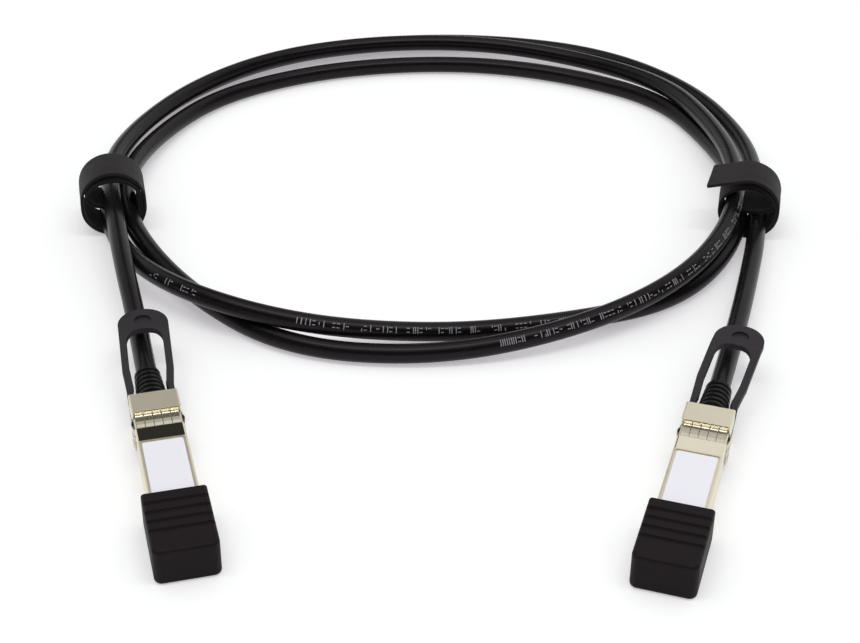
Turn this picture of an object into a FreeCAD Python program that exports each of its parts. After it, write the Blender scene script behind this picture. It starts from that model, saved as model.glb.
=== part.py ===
"""Direct attach copper cable: a short copper network cable with a pluggable
module on each end, coiled and held by two hook-and-loop ties.

Millimetres, +Z up.  The cable lies on a bench at z = 0.  The origin is on the
bench, at the centre of the box round the two modules and the two ties.  +X runs
from module a to module b, and +Y from the modules to the far side of the coil.

Every module is modelled in its own frame: the rear face at y = 0, the nose
along +Y, the bench at z = 0.  It is then turned and moved to its place.
"""
import FreeCAD, Part
import os
from math import acos, cos, degrees, hypot, pi, radians, sin, tan

V = FreeCAD.Vector

# ---------------------------------------------------------------- cable
CABLE_D = 6.0            # outside diameter of the jacket
BENCH_GAP = 0.05         # the cable lies this much above the bench
TURN_STEPS = 17          # route points in one turn of the coil
COIL_HALF_X = 109.3      # half width of the coil's mean turn
COIL_HALF_Y = 101.3      # half depth of the coil's mean turn
COIL_X = 1.7             # centre of the coil
COIL_Y = 114.0
ARC_SHARE = 0.45         # share of the shorter run that a corner's arc takes

# ---------------------------------------------------------------- module body
BODY_W = 13.55           # width inside the cage
BODY_H = 8.55            # height inside the cage
BODY_BOTTOM = 1.25       # the body's underside, above the bench
NOSE_Y = 62.5            # front end of the body
HEAD_OVER = 0.15         # the block behind the cage is this much wider
HEAD_W = BODY_W + HEAD_OVER
HEAD_H = 11.4
HEAD_L = 8.6
BODY_EDGE_R = 0.6        # long edges of the body
HEAD_EDGE_R = 0.5
WALL = 1.1               # roof, front floor and front side walls
FLOOR = 1.6              # floor behind the latch pocket
REAR_WALL = 2.2
HEAD_WALL = 1.2          # roof and floor of the head block
AXIS_Z = 5.7             # height of the cable where it enters the module
SPLIT_Z = 5.5            # where the two shell halves meet
LAP = 0.6                # height of the lap joint between the halves
FIT = 0.05               # gap round parts that are held still
SCREW_INSET = 1.85       # from the head block's side to a screw
SCREW_Y = 4.7
SCREW_L = 6.6            # length of a screw's shank
SLIDE_GAP = 0.1          # gap round parts that slide

# ---------------------------------------------------------------- release mechanism
GROOVE_DEPTH = 1.0       # side grooves that the release arms run in
GROOVE_WALL = 0.9        # shell left between a groove and the hollow
GROOVE_H = 2.3
GROOVE_END_Y = 18.0      # front end of the grooves
ARM_T = 0.55             # steel arm of the slider
ARM_H = 2.0
ARM_START_Y = 4.0        # where the plastic tab ends and the steel begins
PULL = 3.0               # travel of the tab and slider
BRIDGE_L = 2.4           # cross strap of the slider, along the module
BRIDGE_T = 0.6
BRIDGE_Z = 1.45          # underside of the cross strap
PRONG_X = 3.3            # centre of each cam prong, from the module's middle
PRONG_W = 0.8
PIVOT_Y = 31.0           # latch pivot
PIVOT_Z = 2.6
PIN_R = 0.5
EAR_Y = 19.0             # cam follower of the latch
EAR_R = 0.4
CAM_GAP = 0.03           # latch ears to the land of the cams
LAND_Z = PIVOT_Z - EAR_R - CAM_GAP
CAM_RISE = 1.4
ROCKER_W = 3.6
ROCKER_T = 0.8
ROCKER_FRONT_Y = 36.0
BOSS_Y = 23.5            # locking boss of the latch
BOSS_W = 2.6
BOSS_Z = 0.35            # how near the boss comes to the bench
TILT = radians(7.0)      # how far the latch tilts when the tab is pulled
POCKET_HALF_W = 4.0
POCKET_Y = (16.4, 36.8)
POCKET_TOP = 4.6
POCKET_ROOF = 0.35
PIN_SEAT = 0.7           # how far the pin reaches into each side of the pocket
PIN_HALF_L = POCKET_HALF_W + PIN_SEAT
SPRING_T = 0.12

# ---------------------------------------------------------------- circuit card
CARD_Z = 5.2             # underside of the card
CARD_T = 1.0
CARD_Y = (13.5, 61.0)
CARD_GAP = 0.075         # card to the walls beside it
CARD_WIDE_Y = 20.5       # the card widens here, clear of the grooves
TONGUE_Y = 50.0          # the card narrows here to the tongue that plugs in
TONGUE_W = 9.2
LEDGE = 0.8              # width of the ledges that clamp the card
LEDGE_Y = ((21.0, 26.0), (39.0, 48.0))
CHIP_Y = 30.5
CHIP_SIZE = 3.0
CHIP_T = 0.85
CAPACITOR_Y = 45.0
CAPACITOR_X = (-3.3, -1.1, 1.1, 3.3)
CAPACITOR_SIZE = (0.6, 1.1, 0.5)
PAD_PITCH = 0.8
PAD_W = 0.6
PAD_L = 3.6
PAD_INSET = 0.6          # from the card's front edge
PAD_COUNT = 10
PAD_T = 0.05

# ---------------------------------------------------------------- cap, collar, label
CAP_START_Y = 43.6
CAP_L = 23.6
CAP_GAP = 0.1            # cap to body
CAP_WALL = 1.75
CAP_ROOF = 0.95
CAP_W = BODY_W + 2 * (CAP_GAP + CAP_WALL)
CAP_H = BODY_BOTTOM + BODY_H + CAP_GAP + CAP_ROOF
CAP_NOSE_GAP = 1.3       # nose to the end wall inside the cap
CAP_RIB_Y = 3.3          # first rib groove, from the cap's open end
CAP_RIB_PITCH = 3.7
CAP_RIBS = 4
CAP_RIB_DEPTH = 0.4
CAP_TRAVEL = 26.0
COLLAR_Y = (8.65, 13.95)
COLLAR_T = 0.16
COLLAR_RECESS = 0.2
TOP_FINGER_COUNT = 5
SIDE_FINGER_COUNT = 3
FINGER_GAP = 0.25
FINGER_HEEL = 0.25       # the upright heel of a finger stops this far below the head block's edge
# Top of a finger: distance from the collar's rear, height above the recess.
FINGER_BOW = [(0.45, 0.26), (0.8, 0.34), (1.5, 0.66), (2.2, 0.78), (3.1, 0.7), (4.3, 0.48)]
LABEL_Y = (20.6, 48.0)
LABEL_T = 0.12
FIELD_DEPTH = 0.25       # recess for the label
FIELD_RIM = 0.5          # rim of the recess round the label
FIELD_INSET = 0.7        # from the body's side to the recess
LABEL_W = BODY_W - 2 * (FIELD_INSET + FIELD_RIM)

# ---------------------------------------------------------------- strain relief and ferrule
BOOT_L = 15.4            # ribbed length outside the module
BOOT_R_REAR = 3.7
BOOT_R_FRONT = 4.6
BOOT_RIBS = 7
BOOT_GAP = 0.12          # boot's bore to the cable
BOOT_RIB_DEPTH = 0.55
BOOT_NECK_R = 3.55
BOOT_FLANGE_R = 4.4
BOOT_FLANGE_T = 0.8
FERRULE_R = 3.8
FERRULE_L = 3.5
JACKET_END_Y = 5.2       # where the jacket stops inside the module

# ---------------------------------------------------------------- shielded pairs
SHIELD_R = 0.85          # foil shield round a pair
CORE_R = 0.55            # one insulated core
CORE_X = 0.85            # from the middle of the module to a core
TIP_R = 0.25             # bare wire at the end of a core
SHIELD_END_Y = 9.5       # where the foil is cut back
SOLDER_T = 0.12          # height of a solder pad with its joint
SOLDER_W = 0.9

# ---------------------------------------------------------------- pull tab
TAB_W = 14.6
TAB_T = 1.7
TAB_L = 38.0             # from the rear face to the tip of the tab
TAB_ARM_W = 2.1
TAB_TOE_L = 8.0          # from the rear face to the waist, where the arms are closest
TAB_WAIST_L = 6.0        # length over which the arms close in to the waist
TAB_WAIST_IN = 0.65      # how far they close in, each
TAB_CORNER_R = 7.0       # rounding of the head
TAB_ARCH = 0.82          # rounding of the opening, as a share of its half width
TAB_LEAN = {"a": radians(3.2), "b": radians(6.3)}   # how far each tab leans to one side
TAB_HEAD_L = 9.4
TAB_TIP_Z = 13.2         # centre of the tab's thickness at its tip
DIMPLE_R = 2.5
DIMPLE_DEPTH = 0.7
DIMPLE_Y = 5.4           # from the tip of the tab
DIMPLE_DROP = 0.3        # the tab's middle is this much lower there than at its tip

# ---------------------------------------------------------------- ties
TIE_W = 14.0             # width of the strap
TIE_T = 1.2
TIE_PITCH = 1.3          # from one layer to the next
TIE_INNER_R = 8.2
FLAP_ANGLE = radians(106)  # where the free end of tie b leaves the loop
FLAP_L = 10.5
TUCK_ANGLE = radians(62)   # how far the free end of tie a tucks under

# ---------------------------------------------------------------- places
MODULES = {              # rear face on the bench, and the turn of the nose
    "a": (-76.8, -24.6, radians(14.8)),
    "b": (78.1, -28.8, radians(-16.9)),
}
# Centre on the bench, turn, which way the strap winds, and half of its straight side.
TIES = {
    "a": (-104.6, 84.3, radians(11.8), -1, 1.2),
    "b": (104.6, 85.7, radians(-11.0), 1, 0.5),
}

# Each point of the coil: how far outside the mean turn it lies, and its height.
COIL_LAY = [
    # first far side
    (2.4, 11.2), (-0.3, 7.9), (0.0, 7.1), (2.0, 6.2), (1.0, 5.85),
    (1.3, 5.8), (3.2, 4.4), (-0.6, 7.8), (-7.8, 10.8), (-7.0, 12.9),
    # first near side
    (-1.9, 11.9), (3.2, 9.7), (4.7, 6.3), (8.0, 3.1), (11.6, 3.05), (3.2, 3.4), (1.0, 8.1),
    # second far side
    (-2.8, 7.1), (-6.0, 3.8), (-6.4, 3.05), (-10.8, 3.05), (-13.2, 3.05),
    (-12.2, 3.05), (-9.6, 3.05), (-4.0, 3.05), (-7.2, 3.05), (-5.8, 6.6),
    # second near side
    (0.2, 5.2), (3.6, 3.05), (-3.9, 3.05), (-4.0, 3.05), (7.2, 8.8), (12.0, 10.6), (7.2, 5.2),
    # third far side
    (3.4, 4.4), (4.9, 3.1), (5.6, 3.05), (7.6, 3.05), (6.8, 3.05),
    (8.6, 3.05), (13.0, 3.05), (10.8, 3.05), (5.4, 3.05), (0.9, 5.9),
]
# Points of the two leads, between each module's strain relief and its tie.
LEAD_A = [(-87.8, 18.0, 7.6), (-95.0, 42.5, 11.9), (-101.6, 69.4, 13.4)]
LEAD_B = [(105.6, 69.4, 6.2), (99.8, 46.0, 5.9), (92.8, 20.0, 5.8)]
LEAD_STRAIGHT = 19.3     # straight cable behind each module's rear face


# ================================================================ helpers
def box(x0, x1, y0, y1, z0, z1):
    return Part.makeBox(x1 - x0, y1 - y0, z1 - z0, V(x0, y0, z0))


def centred(width, y0, y1, z0, z1):
    """A box astride the module's middle plane."""
    return box(-width / 2, width / 2, y0, y1, z0, z1)


def both_sides(shape):
    """The shape and its mirror image across the module's middle plane."""
    return [shape, shape.mirror(V(0, 0, 0), V(1, 0, 0))]


def fillet(shape, radius, wanted):
    """Round the edges for which wanted(edge) is true."""
    edges = [edge for edge in shape.Edges if wanted(edge)]
    return shape.makeFillet(radius, edges)


def runs_along(edge, axis):
    first, last = edge.Vertexes[0].Point, edge.Vertexes[-1].Point
    step = last - first
    return step.Length > 1e-6 and abs(step.dot(axis)) > 0.999 * step.Length


def turned(shape, centre, angle):
    copy = shape.copy()
    copy.rotate(centre, V(0, 0, 1), degrees(angle))
    return copy


def polygon_face(points):
    return Part.Face(Part.makePolygon([V(*p) for p in points] + [V(*points[0])]))


def extrude_x(points_yz, x0, x1):
    """A prism across the module from an outline in Y and Z."""
    return polygon_face([(x0, y, z) for y, z in points_yz]).extrude(V(x1 - x0, 0, 0))


def cylinder_y(radius, y0, y1, z=AXIS_Z, x=0.0):
    return Part.makeCylinder(radius, y1 - y0, V(x, y0, z), V(0, 1, 0))


def cylinder_x(radius, half_length, y, z):
    return Part.makeCylinder(radius, 2 * half_length, V(-half_length, y, z), V(1, 0, 0))


def joined(shapes):
    """One clean solid from shapes that touch or overlap."""
    first, *rest = shapes
    whole = first.fuse(rest).removeSplitter() if rest else first
    return whole.Solids[0] if len(whole.Solids) == 1 else whole


# ================================================================ cable route
def module_point(place, y, z=AXIS_Z):
    """A point on a module's middle plane, in the part's frame."""
    x0, y0, turn = place
    return (x0 + y * sin(turn), y0 - y * cos(turn), z)


def coil_points():
    points = []
    for index, (out, height) in enumerate(COIL_LAY):
        angle = pi / 2 + (4.5 - index) * 2 * pi / TURN_STEPS
        x, y = COIL_HALF_X * cos(angle), COIL_HALF_Y * sin(angle)
        grow = 1 + out / hypot(x, y)
        points.append((COIL_X + x * grow, COIL_Y + y * grow, height))
    return points


def route_points():
    ends = {}
    for name, place in MODULES.items():
        ends[name] = [module_point(place, JACKET_END_Y), module_point(place, -LEAD_STRAIGHT)]
    return ends["a"] + LEAD_A + coil_points() + LEAD_B + ends["b"][::-1]


def route_wire(points):
    """Straight runs joined by tangent arcs, and the radius of each arc."""
    points = [V(*p) for p in points]
    edges, radii = [], []
    here = points[0]
    for before, corner, after in zip(points, points[1:], points[2:]):
        run_in, run_out = corner - before, after - corner
        d_in, d_out = V(run_in).normalize(), V(run_out).normalize()
        half = acos(max(-1.0, min(1.0, d_in.dot(d_out)))) / 2
        reach = ARC_SHARE * min(run_in.Length, run_out.Length)
        radius = reach / tan(half)
        start, end = corner - d_in * reach, corner + d_out * reach
        middle_dir = (d_out - d_in).normalize()
        middle = corner + middle_dir * (radius / cos(half) - radius)
        edges.append(Part.LineSegment(here, start).toShape())
        edges.append(Part.Arc(start, middle, end).toShape())
        radii.append(radius)
        here = end
    edges.append(Part.LineSegment(here, points[-1]).toShape())
    return Part.Wire(edges), radii


def make_cable():
    points = route_points()
    wire, radii = route_wire(points)
    start, direction = V(*points[0]), V(*points[1]) - V(*points[0])
    section = Part.Wire(Part.makeCircle(CABLE_D / 2, start, direction))
    tube = wire.makePipeShell([section], True, False)
    stated = pi * CABLE_D ** 2 / 4 * wire.Length
    print("cable length %.1f, volume over section times length %.5f" % (wire.Length, tube.Volume / stated))
    print("cable radii " + " ".join("%.0f" % r for r in radii))
    return tube


# ================================================================ shells
def outer_form():
    """The module's outside: the body for the cage and the head block behind it."""
    head = centred(HEAD_W, 0, HEAD_L, 0, HEAD_H)
    head = fillet(head, HEAD_EDGE_R, lambda e: not runs_along(e, V(1, 0, 0)) or e.CenterOfMass.y < 1)
    top = BODY_BOTTOM + BODY_H
    body = centred(BODY_W, HEAD_L - 0.5, NOSE_Y, BODY_BOTTOM, top)
    body = fillet(body, BODY_EDGE_R, lambda e: runs_along(e, V(0, 1, 0)))
    recess = centred(BODY_W + 4, HEAD_L, COLLAR_Y[1] + FIT, BODY_BOTTOM - 2, top + 2)
    core = centred(BODY_W - 2 * COLLAR_RECESS, HEAD_L - 0.5, COLLAR_Y[1] + 1,
                   BODY_BOTTOM + COLLAR_RECESS, top - COLLAR_RECESS)
    core = fillet(core, BODY_EDGE_R - 0.1, lambda e: runs_along(e, V(0, 1, 0)))
    return joined([head, body.cut(recess), core])


def label_field():
    """The shallow recess in the roof that the label is stuck in."""
    top = BODY_BOTTOM + BODY_H
    width = LABEL_W + 2 * FIELD_RIM
    field = centred(width, LABEL_Y[0] - FIELD_RIM, LABEL_Y[1] + FIELD_RIM, top - FIELD_DEPTH, top + 1)
    return fillet(field, 0.8, lambda e: runs_along(e, V(0, 0, 1)))


def rear_half():
    """Half width of the hollow beside the grooves."""
    return HEAD_W / 2 - GROOVE_DEPTH - GROOVE_WALL


def front_half():
    """Half width of the hollow in front of the grooves."""
    return BODY_W / 2 - WALL


def inner_space():
    """The hollow inside the two halves, from the rear wall to the open nose."""
    roof = BODY_BOTTOM + BODY_H - WALL
    wide_y, low_y = CARD_WIDE_Y - 0.5, POCKET_Y[1] + 1.0
    return joined([
        centred(2 * rear_half(), REAR_WALL, HEAD_L - HEAD_WALL, HEAD_WALL, HEAD_H - HEAD_WALL),
        centred(2 * rear_half(), REAR_WALL, wide_y + 1, BODY_BOTTOM + FLOOR, roof),
        centred(2 * front_half(), wide_y, low_y + 1, BODY_BOTTOM + FLOOR, roof),
        centred(2 * front_half(), low_y, NOSE_Y + 1, BODY_BOTTOM + WALL, roof),
    ])


def arm_grooves():
    z0 = AXIS_Z - GROOVE_H / 2
    groove = box(HEAD_W / 2 - GROOVE_DEPTH, HEAD_W, -1, GROOVE_END_Y, z0, z0 + GROOVE_H)
    return both_sides(groove)


def bridge_recess():
    """Room under the body and up its sides for the slider's cross strap to travel."""
    y0 = GROOVE_END_Y - BRIDGE_L - PULL - 0.6
    top = LAND_Z + SLIDE_GAP
    under = centred(BODY_W + 4, y0, GROOVE_END_Y, -1, top)
    side = box(HEAD_W / 2 - GROOVE_DEPTH, HEAD_W, y0, GROOVE_END_Y, -1, AXIS_Z)
    return [under] + both_sides(side)


def latch_pocket():
    return centred(2 * POCKET_HALF_W, POCKET_Y[0], POCKET_Y[1], -1, POCKET_TOP)


def latch_housing():
    """The block inside the lower half that the latch pocket is sunk in."""
    return centred(2 * rear_half(), POCKET_Y[0] - 0.6, POCKET_Y[1] + 0.6,
                   BODY_BOTTOM + 1, POCKET_TOP + POCKET_ROOF)


def card_ledges(z0, z1):
    """Ledges on both side walls that the card is clamped between."""
    ledges = []
    for y0, y1 in LEDGE_Y:
        ledges += both_sides(box(front_half() - LEDGE, front_half() + 0.2, y0, y1, z0, z1))
    return ledges


def screw_places():
    reach = HEAD_W / 2 - SCREW_INSET
    return [V(x, SCREW_Y, 0) for x in (-reach, reach)]


def screw(place, gap=0.0):
    """A small countersunk screw, head down, or with a gap the hole that takes it."""
    head = Part.makeCone(1.15 + gap, 0.55 + gap, 0.6, place + V(0, 0, 0.15), V(0, 0, 1))
    shank = Part.makeCylinder(0.5 + gap, SCREW_L, place + V(0, 0, 0.7), V(0, 0, 1))
    return head.fuse(shank)


def upper_region():
    """Everything above the stepped joint between the two halves."""
    middle = BODY_W / 2 - WALL / 2
    big = 40
    return joined([
        centred(2 * middle, -big, NOSE_Y + big, SPLIT_Z + LAP, big),
        box(middle, big, -big, NOSE_Y + big, SPLIT_Z, big),
        box(-big, -middle, -big, NOSE_Y + big, SPLIT_Z, big),
    ])


def make_shells():
    hollow = outer_form().cut([inner_space(), label_field()] + arm_grooves())
    exit_hole = cylinder_y(BOOT_NECK_R + FIT, -1, REAR_WALL + 1)
    hollow = hollow.cut(exit_hole)
    region = upper_region()
    upper = hollow.common(region)
    lower = hollow.cut(region)
    roof = BODY_BOTTOM + BODY_H - WALL
    upper = joined([upper] + card_ledges(CARD_Z + CARD_T, roof + 0.1))
    lower = joined([lower, latch_housing()] + card_ledges(BODY_BOTTOM + 1, CARD_Z))
    pin_hole = cylinder_x(PIN_R + 0.02, PIN_HALF_L + FIT, PIVOT_Y, PIVOT_Z)
    lower = lower.cut([latch_pocket(), pin_hole] + bridge_recess())
    holes = [screw(place, 0.03) for place in screw_places()]
    return upper.cut(holes), lower.cut(holes)


def make_screws():
    slot_w, slot_l = 0.3, 1.6
    screws = []
    for place in screw_places():
        body = screw(place)
        slot = box(place.x - slot_w / 2, place.x + slot_w / 2, place.y - slot_l / 2, place.y + slot_l / 2, 0, 0.4)
        screws.append(body.cut(slot))
    return Part.makeCompound(screws)


# ================================================================ shielding collar
def finger_outline(heel):
    """Side view of one spring finger: distance along the module, height above the recess.

    An upright heel stands against the head block, and the finger bows out from its foot.
    """
    y0, y1 = COLLAR_Y
    bow = [(y0 + along, height) for along, height in FINGER_BOW] + [(y1, COLLAR_T + 0.08)]
    under = [(y, z - COLLAR_T) for y, z in bow[:-1]] + [(y1 - 0.06, 0.1)]
    return [(y0, heel), (y0 + COLLAR_T, heel), (y0 + COLLAR_T, 0.4)] + bow + under[::-1] + [(y0, 0.0)]


def finger_row(count, span, heel):
    """A row of fingers side by side, standing up from the plane z = 0."""
    width = (span - (count - 1) * FINGER_GAP) / count
    row = []
    for index in range(count):
        x0 = -span / 2 + index * (width + FINGER_GAP)
        row.append(extrude_x(finger_outline(heel), x0, x0 + width))
    return row


def make_collar():
    half_w = BODY_W / 2 - COLLAR_RECESS
    half_h = BODY_H / 2 - COLLAR_RECESS
    middle = BODY_BOTTOM + BODY_H / 2
    pieces = []
    top_heel = HEAD_H - (middle + half_h) - FINGER_HEEL
    bottom_heel = (middle - half_h) - FINGER_HEEL
    side_heel = COLLAR_T + FINGER_HEEL
    sides = ((0, half_h, TOP_FINGER_COUNT, 2 * half_w, top_heel),
             (90, half_w, SIDE_FINGER_COUNT, 2 * half_h, side_heel),
             (180, half_h, TOP_FINGER_COUNT, 2 * half_w, bottom_heel),
             (270, half_w, SIDE_FINGER_COUNT, 2 * half_h, side_heel))
    for turn, reach, count, span, heel in sides:
        for finger in finger_row(count, span - 2 * BODY_EDGE_R, heel):
            finger.translate(V(0, 0, reach))
            finger.rotate(V(0, 0, 0), V(0, 1, 0), turn)
            pieces.append(finger)
    y0 = COLLAR_Y[0]
    band = box(-half_w - COLLAR_T, half_w + COLLAR_T, y0, y0 + 0.5, -half_h - COLLAR_T, half_h + COLLAR_T)
    band = fillet(band, BODY_EDGE_R, lambda e: runs_along(e, V(0, 1, 0)))
    core = box(-half_w, half_w, y0 - 1, y0 + 1, -half_h, half_h)
    core = fillet(core, BODY_EDGE_R - 0.1, lambda e: runs_along(e, V(0, 1, 0)))
    collar = joined([band.cut(core)] + pieces)
    collar.translate(V(0, 0, middle))
    return collar


# ================================================================ card and wiring
def make_card():
    top = CARD_Z + CARD_T
    card = joined([
        centred(2 * (rear_half() - CARD_GAP), CARD_Y[0], CARD_WIDE_Y, CARD_Z, top),
        centred(2 * (front_half() - CARD_GAP), CARD_WIDE_Y, TONGUE_Y, CARD_Z, top),
        centred(TONGUE_W, TONGUE_Y, CARD_Y[1], CARD_Z, top),
    ])
    return card.makeChamfer(0.25, [e for e in card.Edges
                                   if runs_along(e, V(1, 0, 0)) and e.CenterOfMass.y > CARD_Y[1] - 0.1])


def pad_rows(y0, y1, width, pitch, count, thickness):
    """Pads on both faces of the card."""
    pads = []
    for index in range(count):
        x = (index - (count - 1) / 2) * pitch
        for z in (CARD_Z - thickness, CARD_Z + CARD_T):
            pads.append(box(x - width / 2, x + width / 2, y0, y1, z, z + thickness))
    return pads


def make_pads():
    front = CARD_Y[1] - PAD_INSET
    edge = pad_rows(front - PAD_L, front, PAD_W, PAD_PITCH, PAD_COUNT, PAD_T)
    solder = pad_rows(CARD_Y[0] + 0.4, CARD_Y[0] + 2.0, SOLDER_W, 2 * CORE_X, 2, SOLDER_T)
    return Part.makeCompound(edge + solder)


def make_chip():
    z = CARD_Z + CARD_T
    body = centred(CHIP_SIZE, CHIP_Y, CHIP_Y + CHIP_SIZE, z, z + CHIP_T)
    return body.makeChamfer(0.12, [e for e in body.Edges if e.CenterOfMass.z > z + CHIP_T - 0.05])


def make_capacitors():
    z = CARD_Z + CARD_T
    caps = []
    width, length, height = CAPACITOR_SIZE
    for x in CAPACITOR_X:
        block = box(x - width / 2, x + width / 2, CAPACITOR_Y, CAPACITOR_Y + length, z, z + height)
        caps.append(fillet(block, 0.08, lambda e: runs_along(e, V(1, 0, 0)) and e.CenterOfMass.z > z + height - 0.1))
    return Part.makeCompound(caps)


def make_twinax(side):
    """A shielded pair, its two bare cores and their tips; side is +1 on top of the card."""
    z = AXIS_Z + side * (SHIELD_R + 0.03)
    y0, y1, y2, y3 = JACKET_END_Y + FIT, SHIELD_END_Y, CARD_Y[0] - 0.4, CARD_Y[0] + 1.8
    card_middle = CARD_Z + CARD_T / 2
    tip_z = card_middle + side * (CARD_T / 2 + SOLDER_T + TIP_R)
    shield = [cylinder_y(SHIELD_R, y0, y1, z, -CORE_X), cylinder_y(SHIELD_R, y0, y1, z, CORE_X),
              centred(2 * CORE_X, y0, y1, z - SHIELD_R, z + SHIELD_R)]
    cores = [cylinder_y(CORE_R, y1 - 0.5, y2, z, s * CORE_X) for s in (-1, 1)]
    tips = [cylinder_y(TIP_R, y2 - 0.5, y3, tip_z, s * CORE_X) for s in (-1, 1)]
    return joined(shield + cores + tips)


def make_ferrule():
    y0 = REAR_WALL + FIT + BOOT_FLANGE_T + FIT
    sleeve = cylinder_y(FERRULE_R, y0, y0 + FERRULE_L)
    sleeve = sleeve.makeChamfer(0.25, [e for e in sleeve.Edges if e.Curve.TypeId == "Part::GeomCircle"])
    wide = cylinder_y(CABLE_D / 2 + FIT, y0 - 1, JACKET_END_Y + FIT)
    narrow = cylinder_y(2.5, JACKET_END_Y - 1, y0 + FERRULE_L + 1)
    return sleeve.cut([wide, narrow])


def make_boot():
    """Ribbed rubber sleeve, turned about the cable's axis."""
    pitch = BOOT_L / BOOT_RIBS
    bore = CABLE_D / 2 + BOOT_GAP
    outline = [(bore, -BOOT_L)]
    for index in range(BOOT_RIBS):
        share = (index + 0.5) / BOOT_RIBS
        crest = BOOT_R_REAR + (BOOT_R_FRONT - BOOT_R_REAR) * share
        y0 = -BOOT_L + index * pitch
        outline += [(crest - 0.3, y0), (crest, y0 + 0.3), (crest, y0 + 0.6 * pitch),
                    (crest - BOOT_RIB_DEPTH, y0 + 0.7 * pitch), (crest - BOOT_RIB_DEPTH, y0 + pitch)]
    y1 = REAR_WALL + FIT
    y2 = y1 + BOOT_FLANGE_T
    outline[-1] = (outline[-1][0], -0.02)
    outline += [(BOOT_NECK_R, -0.02), (BOOT_NECK_R, y1), (BOOT_FLANGE_R, y1), (BOOT_FLANGE_R, y2), (bore, y2)]
    face = polygon_face([(r, y, 0) for r, y in outline])
    boot = face.revolve(V(0, 0, 0), V(0, 1, 0), 360)
    boot.translate(V(0, 0, AXIS_Z))
    return boot


# ================================================================ release parts
def tab_side_band():
    """The tab seen from the side: low at the grooves, rising over the strain relief."""
    low, high = AXIS_Z, TAB_TIP_Z
    arch_y = TAB_HEAD_L - TAB_L
    centre = [(0.6, low), (-3.0, low + 0.2), (-TAB_TOE_L, low + 1.3), (arch_y + 1, high - 0.8), (-TAB_L - 2, high)]
    half = TAB_T / 2
    top = [(y, z + half) for y, z in centre]
    bottom = [(y, z - half) for y, z in centre]
    return extrude_x(top + bottom[::-1], -2 * TAB_W, 2 * TAB_W)


def leaned(shape, lean):
    """Turn the free part of the tab sideways about the place where its arms begin."""
    return turned(shape, V(0, -TAB_TOE_L, 0), -lean)


def tab_plan(lean):
    """The tab seen from above: a rounded head, two arms and their toes in the grooves."""
    half, z0, z1 = TAB_W / 2, -5, 30
    waist_y = -TAB_TOE_L
    arms_y = waist_y - TAB_WAIST_L
    head = box(-half, half, -TAB_L, arms_y, z0, z1)
    head = fillet(head, TAB_CORNER_R, lambda e: runs_along(e, V(0, 0, 1)) and e.CenterOfMass.y < 1 - TAB_L)
    gap_half = half - TAB_ARM_W
    arch_y = TAB_HEAD_L - TAB_L
    opening = box(-gap_half, gap_half, arch_y, 1, z0 - 1, z1 + 1)
    opening = fillet(opening, gap_half * TAB_ARCH,
                     lambda e: runs_along(e, V(0, 0, 1)) and e.CenterOfMass.y < arch_y + 1)
    waist_in, waist_out = gap_half - TAB_WAIST_IN, half - TAB_WAIST_IN
    toe_in = HEAD_W / 2 - GROOVE_DEPTH + SLIDE_GAP
    toe_out = HEAD_W / 2 - FIT
    arms, toes = [], []
    for side in (-1, 1):
        arm = [(side * gap_half, arms_y - 0.5, z0), (side * waist_in, waist_y + 0.5, z0),
               (side * waist_out, waist_y + 0.5, z0), (side * half, arms_y - 0.5, z0)]
        toe = [(side * waist_in, waist_y - 0.5, z0), (side * toe_in, -1.5, z0), (side * toe_in, 0.8, z0),
               (side * toe_out, 0.8, z0), (side * toe_out, -1.5, z0), (side * waist_out, waist_y - 0.5, z0)]
        arms.append(polygon_face(arm).extrude(V(0, 0, z1 - z0)))
        toes.append(polygon_face(toe).extrude(V(0, 0, z1 - z0)))
    return joined([leaned(joined([head.cut(opening)] + arms), lean)] + toes)


def make_tab(lean):
    sheet = tab_plan(lean).common(tab_side_band())
    x0 = HEAD_W / 2 - GROOVE_DEPTH + SLIDE_GAP
    z0 = AXIS_Z - ARM_H / 2
    root = box(x0, HEAD_W / 2 - FIT, 0.1, ARM_START_Y, z0, z0 + ARM_H)
    floor = TAB_TIP_Z - DIMPLE_DROP + TAB_T / 2 - DIMPLE_DEPTH
    dimple = Part.makeCylinder(DIMPLE_R, 2 * TAB_T, V(0, DIMPLE_Y - TAB_L, floor))
    return joined([sheet] + both_sides(root)).cut(leaned(dimple, lean))


def cam_outline():
    """Side view of a cam prong: a low land, a ramp and a high land."""
    y0 = GROOVE_END_Y - 0.3 - BRIDGE_L
    ramp0, ramp1 = EAR_Y + 0.9, EAR_Y + 3.3
    return [(y0, BRIDGE_Z), (ramp1 + 0.9, BRIDGE_Z), (ramp1 + 0.9, LAND_Z + CAM_RISE), (ramp1, LAND_Z + CAM_RISE),
            (ramp0, LAND_Z), (y0, LAND_Z)]


def make_slider():
    y1 = GROOVE_END_Y - 0.3
    y0 = y1 - BRIDGE_L
    x0 = HEAD_W / 2 - GROOVE_DEPTH + SLIDE_GAP
    z0 = AXIS_Z - ARM_H / 2
    arm = box(x0, x0 + ARM_T, ARM_START_Y, y1, z0, z0 + ARM_H)
    leg = box(x0, x0 + ARM_T, y0, y1, BRIDGE_Z, z0 + ARM_H)
    bridge = centred(2 * (x0 + ARM_T), y0, y1, BRIDGE_Z, BRIDGE_Z + BRIDGE_T)
    prong = extrude_x(cam_outline(), PRONG_X - PRONG_W / 2, PRONG_X + PRONG_W / 2)
    return joined([bridge] + both_sides(arm) + both_sides(leg) + both_sides(prong))


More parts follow.
